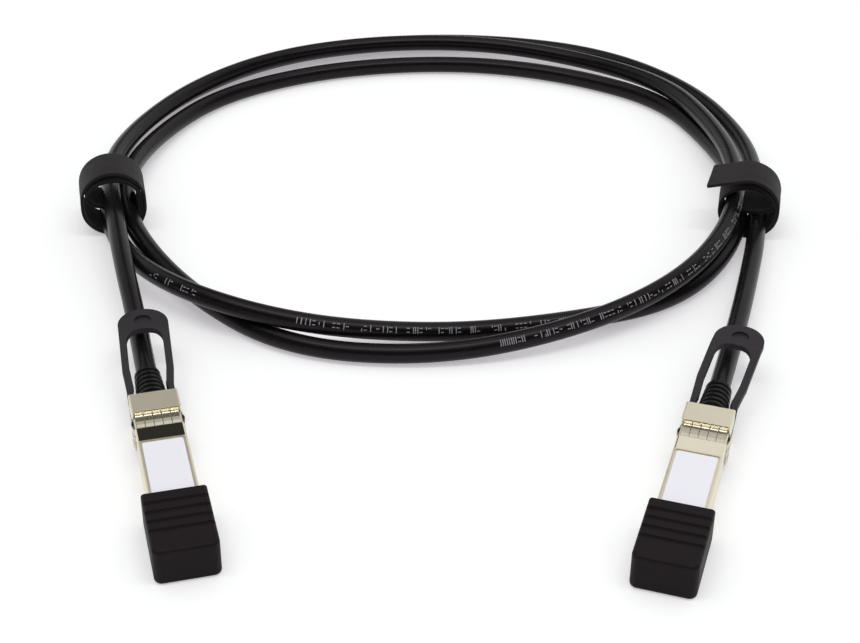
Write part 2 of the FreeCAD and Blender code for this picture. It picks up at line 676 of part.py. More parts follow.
def make_rocker():
    z0 = PIVOT_Z - ROCKER_T / 2
    bar = centred(ROCKER_W, EAR_Y - 0.4, ROCKER_FRONT_Y, z0, z0 + ROCKER_T)
    ear = cylinder_x(EAR_R, PRONG_X + PRONG_W / 2, EAR_Y, PIVOT_Z)
    hub = cylinder_x(PIN_R + 0.5, ROCKER_W / 2, PIVOT_Y, PIVOT_Z)
    half = BOSS_W / 2
    outline = [(-half, BOSS_Y - 1.2, BOSS_Z), (half, BOSS_Y - 1.2, BOSS_Z), (half, BOSS_Y - 0.4, BOSS_Z),
               (0.35, BOSS_Y + 1.5, BOSS_Z), (-0.35, BOSS_Y + 1.5, BOSS_Z), (-half, BOSS_Y - 0.4, BOSS_Z)]
    boss = polygon_face(outline).extrude(V(0, 0, PIVOT_Z - BOSS_Z))
    bore = cylinder_x(PIN_R + 0.03, ROCKER_W, PIVOT_Y, PIVOT_Z)
    return joined([bar, ear, hub, boss]).cut(bore)


def make_latch_spring():
    """A bowed strip of spring steel between the pocket's ceiling and the latch."""
    top, belly = POCKET_TOP - 0.02, PIVOT_Z + ROCKER_T / 2 + 0.04
    y0, y1 = 20.6, 28.4
    middle = (y0 + y1) / 2
    strip = []
    for shift in (0.0, SPRING_T):
        strip.append(Part.Arc(V(0, y0, top - SPRING_T + shift), V(0, middle, belly + shift),
                              V(0, y1, top - SPRING_T + shift)).toShape())
    ends = [Part.LineSegment(V(0, y, top - SPRING_T), V(0, y, top)).toShape() for y in (y0, y1)]
    face = Part.Face(Part.Wire(Part.__sortEdges__(strip + ends)))
    spring = face.extrude(V(2.4, 0, 0))
    spring.translate(V(-1.2, 0, 0))
    return spring


# ================================================================ cap and label
def make_cap():
    end = CAP_START_Y + CAP_L
    outer = centred(CAP_W, CAP_START_Y, end, 0, CAP_H)
    outer = fillet(outer, 2.2, lambda e: runs_along(e, V(0, 0, 1)) and e.CenterOfMass.y > end - 1)
    outer = fillet(outer, 1.0, lambda e: e.CenterOfMass.y > CAP_START_Y + 1 and not runs_along(e, V(0, 0, 1)))
    top = BODY_BOTTOM + BODY_H
    inner = centred(BODY_W + 2 * CAP_GAP, CAP_START_Y - 1, NOSE_Y + CAP_NOSE_GAP,
                    BODY_BOTTOM - CAP_GAP, top + CAP_GAP)
    cap = outer.cut(inner)
    grooves = []
    for index in range(CAP_RIBS):
        y = CAP_START_Y + CAP_RIB_Y + index * CAP_RIB_PITCH
        outline = [(y, CAP_H + 1), (y, CAP_H - 0.02), (y + 0.35, CAP_H - CAP_RIB_DEPTH),
                   (y + 1.0, CAP_H - CAP_RIB_DEPTH), (y + 1.7, CAP_H - 0.02), (y + 1.7, CAP_H + 1)]
        grooves.append(extrude_x(outline, -CAP_W, CAP_W))
    return cap.cut(grooves)


def make_label():
    z = BODY_BOTTOM + BODY_H - FIELD_DEPTH
    label = centred(LABEL_W, LABEL_Y[0], LABEL_Y[1], z, z + LABEL_T)
    return fillet(label, 0.7, lambda e: runs_along(e, V(0, 0, 1)))


# ================================================================ ties
def bend(x, z, inner_r, start, sweep):
    """Strap bent round (x, z) in the XZ plane, from an angle and through a sweep."""
    def at(radius, share):
        angle = start + sweep * share
        return V(x + radius * cos(angle), 0, z + radius * sin(angle))
    outer_r = inner_r + TIE_T
    edges = [Part.Arc(at(inner_r, 0), at(inner_r, 0.5), at(inner_r, 1)).toShape(),
             Part.LineSegment(at(inner_r, 1), at(outer_r, 1)).toShape(),
             Part.Arc(at(outer_r, 1), at(outer_r, 0.5), at(outer_r, 0)).toShape(),
             Part.LineSegment(at(outer_r, 0), at(inner_r, 0)).toShape()]
    return Part.Face(Part.Wire(edges)).extrude(V(0, TIE_W, 0))


def flap(z, inner_r, angle, length):
    """The strap's free end, straight on from a bend round (0, z) that stops at an angle."""
    out, along = V(cos(angle), 0, sin(angle)), V(-sin(angle), 0, cos(angle))
    corner = V(0, 0, z) + out * inner_r
    corners = [corner, corner + out * TIE_T, corner + out * TIE_T + along * length, corner + along * length]
    return polygon_face([(p.x, p.y, p.z) for p in corners]).extrude(V(0, TIE_W, 0))


def make_tie(winding, flat):
    """A strap wound into a loop of about two layers; its end stands off or tucks under."""
    low_r = TIE_INNER_R + TIE_PITCH / 2
    low_z = low_r + TIE_T
    high_z = low_z + 2 * flat
    outer_r = TIE_INNER_R + TIE_PITCH
    shift = TIE_PITCH / 2
    pieces = [bend(0, high_z, TIE_INNER_R, 0, pi),
              box(-TIE_INNER_R - TIE_T, -TIE_INNER_R, 0, TIE_W, low_z, high_z),
              bend(shift, low_z, low_r, pi, pi),
              box(outer_r, outer_r + TIE_T, 0, TIE_W, low_z, high_z)]
    if winding > 0:
        pieces.append(bend(0, high_z, outer_r, 0, FLAP_ANGLE))
        pieces.append(flap(high_z, outer_r, FLAP_ANGLE, FLAP_L))
    else:
        pieces.append(bend(0, high_z, outer_r, 0, pi))
        pieces.append(box(-outer_r - TIE_T, -outer_r, 0, TIE_W, low_z, high_z))
        pieces.append(bend(shift, low_z, low_r + TIE_PITCH, pi, TUCK_ANGLE))
    tie = joined(pieces)
    tie.translate(V(0, -TIE_W / 2, 0))
    if winding < 0:
        tie = tie.mirror(V(0, 0, 0), V(1, 0, 0))
    return tie


# ================================================================ assembly
def make_module(tab_lean):
    upper, lower = make_shells()
    return {
        "upper_shell": upper,
        "lower_shell": lower,
        "shell_screws": make_screws(),
        "shielding_collar": make_collar(),
        "circuit_card": make_card(),
        "card_pads": make_pads(),
        "memory_chip": make_chip(),
        "card_capacitors": make_capacitors(),
        "twinax_send": make_twinax(1),
        "twinax_receive": make_twinax(-1),
        "crimp_ferrule": make_ferrule(),
        "strain_relief": make_boot(),
        "pull_tab": make_tab(tab_lean),
        "release_slider": make_slider(),
        "latch_rocker": make_rocker(),
        "latch_pin": cylinder_x(PIN_R, PIN_HALF_L, PIVOT_Y, PIVOT_Z),
        "latch_spring": make_latch_spring(),
        "label": make_label(),
        "dust_cap": make_cap(),
    }


def placed(shape, x, y, turn):
    moved = turned(shape, V(0, 0, 0), turn)
    moved.translate(V(x, y, 0))
    return moved


def build():
    nodes = {"cable": make_cable()}
    for end, (x, y, turn) in MODULES.items():
        for name, shape in make_module(TAB_LEAN[end]).items():
            nodes["%s_%s" % (name, end)] = placed(shape, x, y, turn + pi)
    for end, (x, y, turn, winding, flat) in TIES.items():
        nodes["cable_tie_%s" % end] = placed(make_tie(winding, flat), x, y, turn)
    return nodes


def main():
    os.makedirs("parts", exist_ok=True)
    hard = None
    for name, shape in build().items():
        solids = shape.Solids
        ok = all(solid.isValid() and solid.Volume > 0 for solid in solids)
        print("%-20s solids %d volume %.2f %s" % (name, len(solids), sum(s.Volume for s in solids), "" if ok else "BAD"))
        keep = Part.makeCompound(solids) if len(solids) > 1 else solids[0]
        keep.exportStep("parts/%s.step" % name)
        if name != "cable":
            bounds = keep.BoundBox
            hard = bounds if hard is None else hard.united(bounds)
    print("modules and ties: x %.2f %.2f, y %.2f %.2f, z %.2f %.2f"
          % (hard.XMin, hard.XMax, hard.YMin, hard.YMax, hard.ZMin, hard.ZMax))


main()
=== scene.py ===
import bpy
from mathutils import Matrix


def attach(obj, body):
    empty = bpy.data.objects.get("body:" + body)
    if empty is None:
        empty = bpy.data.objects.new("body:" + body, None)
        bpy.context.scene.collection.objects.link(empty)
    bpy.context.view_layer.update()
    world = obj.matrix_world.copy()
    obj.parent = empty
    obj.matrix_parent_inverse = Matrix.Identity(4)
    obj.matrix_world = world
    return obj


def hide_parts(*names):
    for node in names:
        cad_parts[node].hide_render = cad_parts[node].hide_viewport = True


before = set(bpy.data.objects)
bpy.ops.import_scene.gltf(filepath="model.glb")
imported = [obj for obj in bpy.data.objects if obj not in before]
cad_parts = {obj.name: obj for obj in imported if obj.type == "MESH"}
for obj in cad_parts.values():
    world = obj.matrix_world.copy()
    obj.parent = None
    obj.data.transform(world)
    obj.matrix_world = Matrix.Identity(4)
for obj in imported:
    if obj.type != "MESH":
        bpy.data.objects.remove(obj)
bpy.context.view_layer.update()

# %% [markdown]
# ## A coiled copper network cable, dressed for a picture
# The object is a short network cable with a pluggable metal module on each end. The
# cable is wound into a loose coil, and two hook-and-loop ties hold the turns together.
# The CAD model already has the right shapes for everything rigid, so this lesson gives
# those parts finishes, and models what is soft: the cable itself and the two ties.
# Everything is in metres, in the CAD model's own frame, with +Z up from the bench.

# %% Tools and units
from math import cos, degrees, hypot, pi, radians, sin
from random import Random

import bmesh
import bpy
from mathutils import Matrix, Vector, noise

# The object's sizes are written in millimetres; MM turns them into metres.
MM = 0.001
ENDS = ("a", "b")
scene = bpy.context.scene
scene.view_settings.view_transform = "Standard"

# %% [markdown]
# ## The camera
# A product picture of a long, low object is taken from in front and from above, so that
# the coil opens into an oval and the modules show their tops. A lens of about 74 mm
# keeps the near modules from looking much too large beside the far side of the coil.
# The camera looks straight along +Y and tips down, and a half-degree roll sets the
# coil level.

# %% Place the camera
CAMERA_PLACE = Vector((0.2, -422.0, 303.5)) * MM
CAMERA_PITCH = radians(33.997)
CAMERA_ROLL = 0.00915
LENS_LENGTH = 74.2
SENSOR_W = 36.0

lens = bpy.data.cameras.new("camera")
lens.lens = LENS_LENGTH
lens.sensor_width = SENSOR_W
camera = bpy.data.objects.new("camera", lens)
scene.collection.objects.link(camera)
tip_down = Matrix.Rotation(pi / 2 - CAMERA_PITCH, 4, "X")
roll = Matrix.Rotation(CAMERA_ROLL, 4, "Z")
camera.matrix_world = Matrix.Translation(CAMERA_PLACE) @ tip_down @ roll
scene.camera = camera
print("camera height:", round(camera.location.z, 3), "m, tipped down", round(degrees(CAMERA_PITCH), 1))

# %% [markdown]
# ## The cable's route
# The jacket is one tube, 6 mm across and nearly two metres long. It could be a mesh
# swept by hand, but a NURBS curve is the natural tool: its control points are the
# places the cable bends round, and the curve between them is smooth, as a stiff cable
# is. The coil's points come from one loop round an oval, and a short list says how far
# each point lies outside the oval and how high, because no turn lies just like another.

# %% Points of the route
CABLE_D = 6.0
TURN_STEPS = 17
FIRST_STEP = 4.5
COIL_HALF_X, COIL_HALF_Y = 109.3, 101.3
COIL_X, COIL_Y = 1.7, 114.0
AXIS_Z = 5.7
JACKET_END_Y = 5.2
LEAD_STRAIGHT = 19.3
MODULES = {"a": (-76.8, -24.6, radians(14.8)), "b": (78.1, -28.8, radians(-16.9))}
LEAD_A = [(-87.8, 18.0, 7.6), (-95.0, 42.5, 11.9), (-101.6, 69.4, 13.4)]
LEAD_B = [(105.6, 69.4, 6.2), (99.8, 46.0, 5.9), (92.8, 20.0, 5.8)]
COIL_LAY = [
    # first far side
    (2.4, 11.2), (-0.3, 7.9), (0.0, 7.1), (2.0, 6.2), (1.0, 5.85),
    (1.3, 5.8), (3.2, 4.4), (-0.6, 7.8), (-7.8, 10.8), (-7.0, 12.9),
    # first near side
    (-1.9, 11.9), (3.2, 9.7), (4.7, 6.3), (8.0, 3.1), (11.6, 3.05), (3.2, 3.4), (1.0, 8.1),
    # second far side
    (-2.8, 7.1), (-6.0, 3.8), (-6.4, 3.05), (-10.8, 3.05), (-13.2, 3.05),
    (-12.2, 3.05), (-9.6, 3.05), (-4.0, 3.05), (-7.2, 3.05), (-5.8, 6.6),
    # second near side
    (0.2, 5.2), (3.6, 3.05), (-3.9, 3.05), (-4.0, 3.05), (7.2, 8.8), (12.0, 10.6), (7.2, 5.2),
    # third far side
    (3.4, 4.4), (4.9, 3.1), (5.6, 3.05), (7.6, 3.05), (6.8, 3.05),
    (8.6, 3.05), (13.0, 3.05), (10.8, 3.05), (5.4, 3.05), (0.9, 5.9),
]


def module_point(end, y):
    """A point on a module's own axis, moved to where that module lies."""
    x0, y0, turn = MODULES[end]
    return Vector((x0 + y * sin(turn), y0 - y * cos(turn), AXIS_Z)) * MM


def coil_points():
    """The points of all the turns, one after another round the oval."""
    points = []
    for index, (out, height) in enumerate(COIL_LAY):
        angle = pi / 2 + (FIRST_STEP - index) * 2 * pi / TURN_STEPS
        x, y = COIL_HALF_X * cos(angle), COIL_HALF_Y * sin(angle)
        grow = 1 + out / hypot(x, y)
        points.append(Vector((COIL_X + x * grow, COIL_Y + y * grow, height)) * MM)
    return points


ends = {end: [module_point(end, JACKET_END_Y), module_point(end, -LEAD_STRAIGHT)] for end in ENDS}
route = ends["a"] + [Vector(point) * MM for point in LEAD_A] + coil_points()
route += [Vector(point) * MM for point in LEAD_B] + ends["b"][::-1]
print("control points:", len(route))

# %% [markdown]
# ## The jacket
# The spline passes near its control points and never through a sharp corner, which is
# how a stiff jacket behaves. The order and the fixed ends are set once the points are
# in, because a new spline has too few points to accept them. Each point's radius is the
# jacket's, and a bevel of depth 1 turns it into thickness. The bare line is read out
# before that, because the print on the jacket will follow it.

# %% Make the cable
curve = bpy.data.curves.new("cable_jacket", "CURVE")
curve.dimensions = "3D"
spline = curve.splines.new("NURBS")
spline.points.add(len(route) - 1)
for control, place in zip(spline.points, route):
    control.co = (*place, 1.0)
    control.radius = CABLE_D / 2 * MM
spline.order_u = 3
spline.use_endpoint_u = True
curve.resolution_u = 14
cable = bpy.data.objects.new("cable_jacket", curve)
scene.collection.objects.link(cable)

line_mesh = bpy.data.meshes.new_from_object(cable)
cable_line = [vertex.co.copy() for vertex in line_mesh.vertices]
bpy.data.meshes.remove(line_mesh)
cable_length = sum((b - a).length for a, b in zip(cable_line, cable_line[1:]))
curve.bevel_depth = 1.0
curve.bevel_resolution = 7
curve.use_fill_caps = True
print("cable length:", round(cable_length, 3), "m, from", len(cable_line), "points")

# %% [markdown]
# ## The print on the jacket
# A real jacket carries a line of pale ink-jet print. Here it is a generic pattern of
# dashes and ticks that spells nothing. An image would need one long, sharp texture for
# two metres of cable, so each mark is a tiny raised patch instead: it bends round the
# jacket, is sunk in it a little and stands two hundredths of a millimetre proud. The
# marks sit on the side that faces out of the coil and up, on three stretches only,
# because elsewhere the line of print is turned away.

# %% Walk along the cable
def walker(points):
    """Returns a function that gives the place and direction at a distance along points."""
    reach = [0.0]
    for a, b in zip(points, points[1:]):
        reach.append(reach[-1] + (b - a).length)

    def at(distance):
        low, high = 0, len(reach) - 1
        while high - low > 1:
            middle = (low + high) // 2
            if reach[middle] <= distance:
                low = middle
            else:
                high = middle
        share = (distance - reach[low]) / (reach[high] - reach[low])
        return points[low].lerp(points[high], share), (points[high] - points[low]).normalized()

    return at


along_cable = walker(cable_line)
print("half way along:", [round(value, 3) for value in along_cable(cable_length / 2)[0]])

# %% Lay one patch of ink
# The side is the angle from straight up to the middle of the print.
INK_SIDE = radians(50)
INK_HEIGHT = 2.0
INK_STROKE = 0.27
INK_LIFT = 0.02
INK_SUNK = 0.06
INK_STEP = 0.4


def join_rings(mesh, first, second):
    """Faces all the way round between two rings of points."""
    for index in range(len(first)):
        after = (index + 1) % len(first)
        mesh.faces.new((first[index], first[after], second[after], second[index]))


def ink_patch(mesh, distance, length, low, high):
    """One closed patch of ink: along the cable from distance, and round it from low to high."""
    rings = []
    steps = 1 + round((high - low) / INK_STEP)
    centre = Vector((COIL_X, COIL_Y, 0)) * MM
    for travel in (distance, distance + length):
        place, forward = along_cable(travel * MM)
        outward = forward.cross(Vector((0, 0, 1))).normalized()
        if outward.dot(place - centre) < 0:
            outward = -outward
        upward = outward.cross(forward).normalized()
        if upward.z < 0:
            upward = -upward
        ring = []
        for radius in (CABLE_D / 2 + INK_LIFT, CABLE_D / 2 - INK_SUNK):
            for step in range(steps + 1):
                offset = low + (high - low) * step / steps
                angle = INK_SIDE - offset / (CABLE_D / 2)
                spot = place + (upward * cos(angle) + outward * sin(angle)) * radius * MM
                ring.append(mesh.verts.new(spot))
        rings.append(ring[:steps + 1] + ring[steps + 1:][::-1])
    join_rings(mesh, *rings)
    last = len(rings[0]) - 1
    for ring in rings:
        for step in range(steps):
            mesh.faces.new((ring[step], ring[step + 1], ring[last - 1 - step], ring[last - step]))


print("a patch of ink stands", INK_LIFT, "mm proud of the jacket")

# %% Print the marks
# The printed stretches and the sizes of the marks, in millimetres along the cable.
INK_STRETCHES = ((506, 616), (1228, 1312), (1344, 1364))
MARK_KINDS = ("tick", "ticks", "dash", "pair", "pair", "short")
MARK_PITCH = 1.3
GROUP = (3, 7)
GAPS = (1.2, 1.9, 2.6)
ROW = 0.6
SHORT = 0.45
TWIN = 0.7
DASH_L = 0.95
PAIR_L = 0.9


def ink_mark(mesh, kind, travel, middle):
    """One mark: upright ticks, or dashes that run along the cable."""
    top = INK_HEIGHT / 2
    if kind in ("tick", "ticks"):
        ink_patch(mesh, travel, INK_STROKE, -top, top)
    if kind == "ticks":
        ink_patch(mesh, travel + TWIN, INK_STROKE, -top, top)
    if kind == "short":
        ink_patch(mesh, travel, INK_STROKE, middle - SHORT, middle + SHORT)
    if kind == "dash":
        ink_patch(mesh, travel, DASH_L, middle - INK_STROKE / 2, middle + INK_STROKE / 2)
    if kind == "pair":
        ink_patch(mesh, travel, PAIR_L, INK_STROKE - top, 2 * INK_STROKE - top)
        ink_patch(mesh, travel, PAIR_L, top - 2 * INK_STROKE, top - INK_STROKE)


def mesh_object(name, mesh):
    """Turns a bmesh into an object in the scene, with its faces turned outwards."""
    bmesh.ops.recalc_face_normals(mesh, faces=mesh.faces)
    data = bpy.data.meshes.new(name)
    mesh.to_mesh(data)
    mesh.free()
    piece = bpy.data.objects.new(name, data)
    scene.collection.objects.link(piece)
    return piece


dice = Random(11)
ink = bmesh.new()
marks = 0
for start, stop in INK_STRETCHES:
    travel = start
    while travel < stop:
        for _ in range(dice.randint(*GROUP)):
            kind = dice.choice(MARK_KINDS)
            ink_mark(ink, kind, travel, dice.choice((-ROW, 0.0, ROW)))
            marks += 1
            travel += MARK_PITCH
        travel += dice.choice(GAPS)
print_marks = mesh_object("jacket_print", ink)
print("ink marks:", marks, "faces:", len(print_marks.data.polygons))

# %% [markdown]
# ## What the frame has to know
# The cable and its print stand for one CAD part and move with the body called root.

# %% Tell the frame about the cable
for piece in (cable, print_marks):
    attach(piece, "root")
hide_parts("cable")
print("the cord leaves at", [round(value, 4) for value in route[0]])

# %% [markdown]
# ## The hook-and-loop ties
# Each tie is a soft strap, 14 mm wide, wound about twice round the strands. A solid
# ring would look like rubber, so the strap is swept: a list of places gives the line
# that its middle layer follows, and at each place a flat section with crisp corners is
# set square to that line. The strap starts between the strands, turns up along the
# wall and goes over them; this inner end keeps the inside of the loop dark. One strap
# ends in a flat flap that stands off the loop; the other tucks its end under.

# %% Sizes of the straps
# Centre, turn, which way the strap winds, and half of its straight side.
TIES = {"a": (-104.6, 84.3, radians(11.8), -1, 1.2), "b": (104.6, 85.7, radians(-11.0), 1, 0.5)}
TIE_W = 14.0
TIE_T = 1.2
TIE_PITCH = 1.3
TIE_INNER_R = 8.2
CLOTH_T = 1.0
FLAP_ANGLE = radians(106)
FLAP_L = 10.5
FLAP_SKEW = 1.6
TUCK_ANGLE = radians(62)

# The inner end, in each tie's own x and z: it lies between the strands.
INNER_END = {
    "a": (
        (-0.5, 8.55), (0.4, 8.55), (1.4, 8.6), (2.4, 8.9), (3.0, 9.6), (3.5, 10.3),
        (4.1, 10.6), (5.0, 10.65), (6.0, 10.95), (7.0, 11.7), (7.9, 12.9),
    ),
    "b": (
        (-1.6, 9.95), (-0.6, 9.9), (0.6, 9.85), (1.8, 9.9), (3.6, 10.0), (5.4, 10.25),
        (6.9, 10.75), (8.0, 11.6),
    ),
}
START_ANGLE = {"a": radians(10), "b": radians(9)}
print("loops are", round(2 * (TIE_INNER_R + TIE_PITCH + TIE_T), 1), "mm across")

# %% [markdown]
# ## Cloth is never straight
# Two layers of cloth don't lie on each other like two pipes. The inner layer sags from
# the outer one at its near edge, and its far edge leans in where the strands leave
# room. Both leans are small numbers that depend on the angle round the loop.

# %% How far the edges lean in
NO_LEAN = (0.0, 0.0)
NEAR_SAG = 1.5
FAR_SAG = 0.3
TILT = {"a": 0.3, "b": 0.1}

# The far edge on the closed side, at these angles in degrees.
PINCH = {
    "a": ((90, 0.0), (135, 2.4), (180, 0.4), (225, 0.0)),
    "b": ((90, 0.0), (135, 0.9), (165, 0.2), (180, 0.0)),
}


def pinch(end, angle):
    """The lean between the angles of the list, and none outside them."""
    table = PINCH[end]
    for (low, first), (high, second) in zip(table, table[1:]):
        if low <= degrees(angle) <= high:
            return first + (second - first) * (degrees(angle) - low) / (high - low)
    return 0.0


print("most lean of the far edge:", {end: max(lean for _, lean in PINCH[end]) for end in ENDS}, "mm")

# %% The line that a strap follows
PLACE_STEP = 0.8
NEAREST = 0.08
FLAP_STEPS = (1, 2, 3, 4, 5, 6, 7, 7.9, 8)


def arc(x, z, radius, start, sweep):
    """Places along an arc, each with its angle."""
    steps = max(2, round(abs(sweep) * radius / PLACE_STEP))
    turns = [start + sweep * step / steps for step in range(steps + 1)]
    return [(Vector((x + radius * cos(turn), 0, z + radius * sin(turn))), turn) for turn in turns]


def strap_line(end):
    """The line from the inner end: each place, the leans of its two edges, and its skew."""
    winding, flat = TIES[end][3:]
    half = TIE_T / 2
    shift = TIE_PITCH / 2
    low_r = TIE_INNER_R + shift
    low_z = low_r + TIE_T
    high_z = low_z + 2 * flat
    outer_r = TIE_INNER_R + TIE_PITCH + half
    start = START_ANGLE[end]
    line = [(Vector((x, 0, z)), NO_LEAN, 0.0) for x, z in INNER_END[end]]
    for place, angle in arc(0, high_z, TIE_INNER_R + half, start, pi - start):
        leans = (NEAR_SAG * sin(angle) ** 2, FAR_SAG * sin(angle) + pinch(end, angle))
        line.append((place, leans, 0.0))
    for place, angle in arc(shift, low_z, low_r + half, pi, pi):
        line.append((place, (0.0, pinch(end, angle)), 0.0))
    outer = arc(0, high_z, outer_r, 0, FLAP_ANGLE if winding > 0 else pi)
    if winding < 0:
        outer += arc(shift, low_z, low_r + TIE_PITCH + half, pi, TUCK_ANGLE)
    line += [(place, NO_LEAN, 0.0) for place, _ in outer]
    if winding > 0:
        last = outer[-1][0]
        along = Vector((-sin(FLAP_ANGLE), 0, cos(FLAP_ANGLE)))
        for step in FLAP_STEPS:
            share = step / FLAP_STEPS[-1]
            line.append((last + along * FLAP_L * share, NO_LEAN, FLAP_SKEW * share))
    kept = line[:1]
    for entry in line[1:]:
        if (entry[0] - kept[-1][0]).length > NEAREST:
            kept.append(entry)
    return kept


for end in ENDS:
    places = [entry[0] for entry in strap_line(end)]
    flat_length = sum((b - a).length for a, b in zip(places, places[1:]))
    print("strap", end, "flat length in mm:", round(flat_length, 1))

# %% The strap's cross section
SECTION_STEPS = 14
EDGE_W = 0.06
EDGE_T = 0.05
FACE_INSET = 0.5


def strap_section():
    """Outline of the strap's cross section: (across the width, through the thickness)."""
    half_w, half_t = TIE_W / 2, CLOTH_T / 2
    shares = [step / SECTION_STEPS - 0.5 for step in range(SECTION_STEPS + 1)]
    lower = [(share * (TIE_W - FACE_INSET), -half_t) for share in shares]
    right = [(half_w - EDGE_W, -half_t + EDGE_T), (half_w, 0.0), (half_w - EDGE_W, half_t - EDGE_T)]
    upper = [(x, half_t) for x, _ in reversed(lower)]
    left = [(-x, -y) for x, y in right]
    return lower + right + upper + left


print("points in the section:", len(strap_section()))

# %% Sweep the straps
# Heights of the cloth's waves in millimetres, and how fast they change.
WAVE, WAVE_RATE, WAVE_SEED = 0.10, (0.16, 0.22), 7.0
FUZZ, FUZZ_RATE = 0.04, (1.7, 2.1, 3)
CLEAR_OF_BENCH = 0.03
REACH = 25.0


def strap_ring(end, line, index, middle):
    """The section at one place of the line, with its leans and the cloth's small waves."""
    x0 = TIES[end][0]
    spot, (near_lean, far_lean), skew = line[index]
    before, after = line[max(0, index - 1)][0], line[min(len(line) - 1, index + 1)][0]
    forward = (after - before).normalized()
    outward = Vector((forward.z, 0, -forward.x))
    inward = (middle - spot).normalized()
    tilt = TILT[end] if index < len(INNER_END[end]) else 0.0
    ring = []
    for across, through in strap_section():
        share = (across + TIE_W / 2) / TIE_W
        slow = Vector((index * WAVE_RATE[0], across * WAVE_RATE[1], WAVE_SEED + x0))
        fast = Vector((index * FUZZ_RATE[0], across * FUZZ_RATE[1], through * FUZZ_RATE[2] + x0))
        outwards = through + WAVE * noise.noise(slow) + FUZZ * noise.noise(fast)
        lean = near_lean * (1 - share) + far_lean * share
        point = spot + outward * outwards + inward * lean
        point += forward * skew * (0.5 - share) + Vector((0, across, tilt * (1 - 2 * share)))
        point.z = max(point.z, CLEAR_OF_BENCH)
        ring.append(point)
    return ring


def make_tie(end):
    """The whole strap: one ring after another, joined, closed and told to the frame."""
    x0, y0, turn, winding, flat = TIES[end]
    line = strap_line(end)
    middle = Vector((0, 0, TIE_INNER_R + TIE_T + TIE_PITCH / 2 + flat))
    place = Matrix.Translation((x0, y0, 0)) @ Matrix.Rotation(turn, 4, "Z")
    if winding < 0:
        place = place @ Matrix.Scale(-1, 4, (1, 0, 0))
    mesh = bmesh.new()
    rings = []
    for index in range(len(line)):
        points = strap_ring(end, line, index, middle)
        rings.append([mesh.verts.new(place @ point * MM) for point in points])
    for first, second in zip(rings, rings[1:]):
        join_rings(mesh, first, second)
    for ring in (rings[0], rings[-1]):
        mesh.faces.new(ring)
    tie = mesh_object("hook_and_loop_tie_" + end, mesh)
    for polygon in tie.data.polygons:
        polygon.use_smooth = True
    soften = tie.modifiers.new("soften", "SUBSURF")
    soften.levels = soften.render_levels = 1
    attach(tie, "root")
    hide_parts("cable_tie_" + end)
    near = [spot for spot in cable_line if (spot - place.translation * MM).length < REACH * MM]
    nearest = min((vertex.co - spot).length for vertex in tie.data.vertices for spot in near)
    print(tie.name, "faces:", len(tie.data.polygons), "gap to the strands:",
          round(nearest / MM - CABLE_D / 2, 2), "mm")
    return tie


ties = {end: make_tie(end) for end in ENDS}

# %% [markdown]
# ## Finishes, written as sums
# A finish is a small net of nodes. Joining nodes by hand is hard to read, so three
# small classes do it. Net holds a tree of nodes and has one method that adds a node:
# its settings first, then its sockets. Value wraps a number that changes over a
# surface, so `1 - grain * 0.3` adds the Math nodes for that sum. Finish is the net of
# one material, built on a Principled shader.

# %% Net: a tree of nodes
class Net:
    """A tree of nodes, and the one way to add a node to it."""

    def __init__(self, tree):
        self.tree = tree

    def node(self, kind, settings=None, inputs=None):
        """Adds a node: its settings first, then the values or links of its sockets."""
        made = self.tree.nodes.new(kind)
        for name, value in (settings or {}).items():
            setattr(made, name, value)
        for name, value in (inputs or {}).items():
            if isinstance(name, int):
                socket = made.inputs[name]
            else:
                socket = next(s for s in made.inputs if s.enabled and s.name == name)
            self.connect(value, socket)
        return made

    def connect(self, value, socket):
        """Links a value to a socket, or writes a plain number there."""
        if isinstance(value, Value):
            value = value.socket
        if isinstance(value, bpy.types.NodeSocket):
            self.tree.links.new(value, socket)
        else:
            socket.default_value = value

    def split(self, vector):
        """The three numbers of a vector."""
        parts = self.node("ShaderNodeSeparateXYZ", None, {"Vector": vector}).outputs
        return [Value(self, part) for part in parts]


def methods(kind):
    """The names of what a class can do."""
    return ", ".join(name for name in vars(kind) if not name.startswith("__"))


print("a Net can:", methods(Net))

# %% Value: numbers as expressions
class Value:
    """A number that changes over a surface, or over the sky."""

    def __init__(self, net, socket):
        self.net = net
        self.socket = socket

    def maths(self, operation, *numbers):
        """Adds a Math node."""
        made = self.net.node("ShaderNodeMath", {"operation": operation}, dict(enumerate(numbers)))
        return Value(self.net, made.outputs[0])

    def __add__(self, other):
        return self.maths("ADD", self, other)

    def __sub__(self, other):
        return self.maths("SUBTRACT", self, other)

    def __rsub__(self, other):
        return self.maths("SUBTRACT", other, self)

    def __mul__(self, other):
        return self.maths("MULTIPLY", self, other)

    # The reflected forms, for a plain number that stands first.
    __radd__ = __add__
    __rmul__ = __mul__

    def above(self, low, high):
        """0 below low, 1 above high, and a smooth step between."""
        settings = {"interpolation_type": "SMOOTHSTEP"}
        inputs = {"Value": self, "From Min": low, "From Max": high}
        return Value(self.net, self.net.node("ShaderNodeMapRange", settings, inputs).outputs[0])


print("a Value can also:", methods(Value))

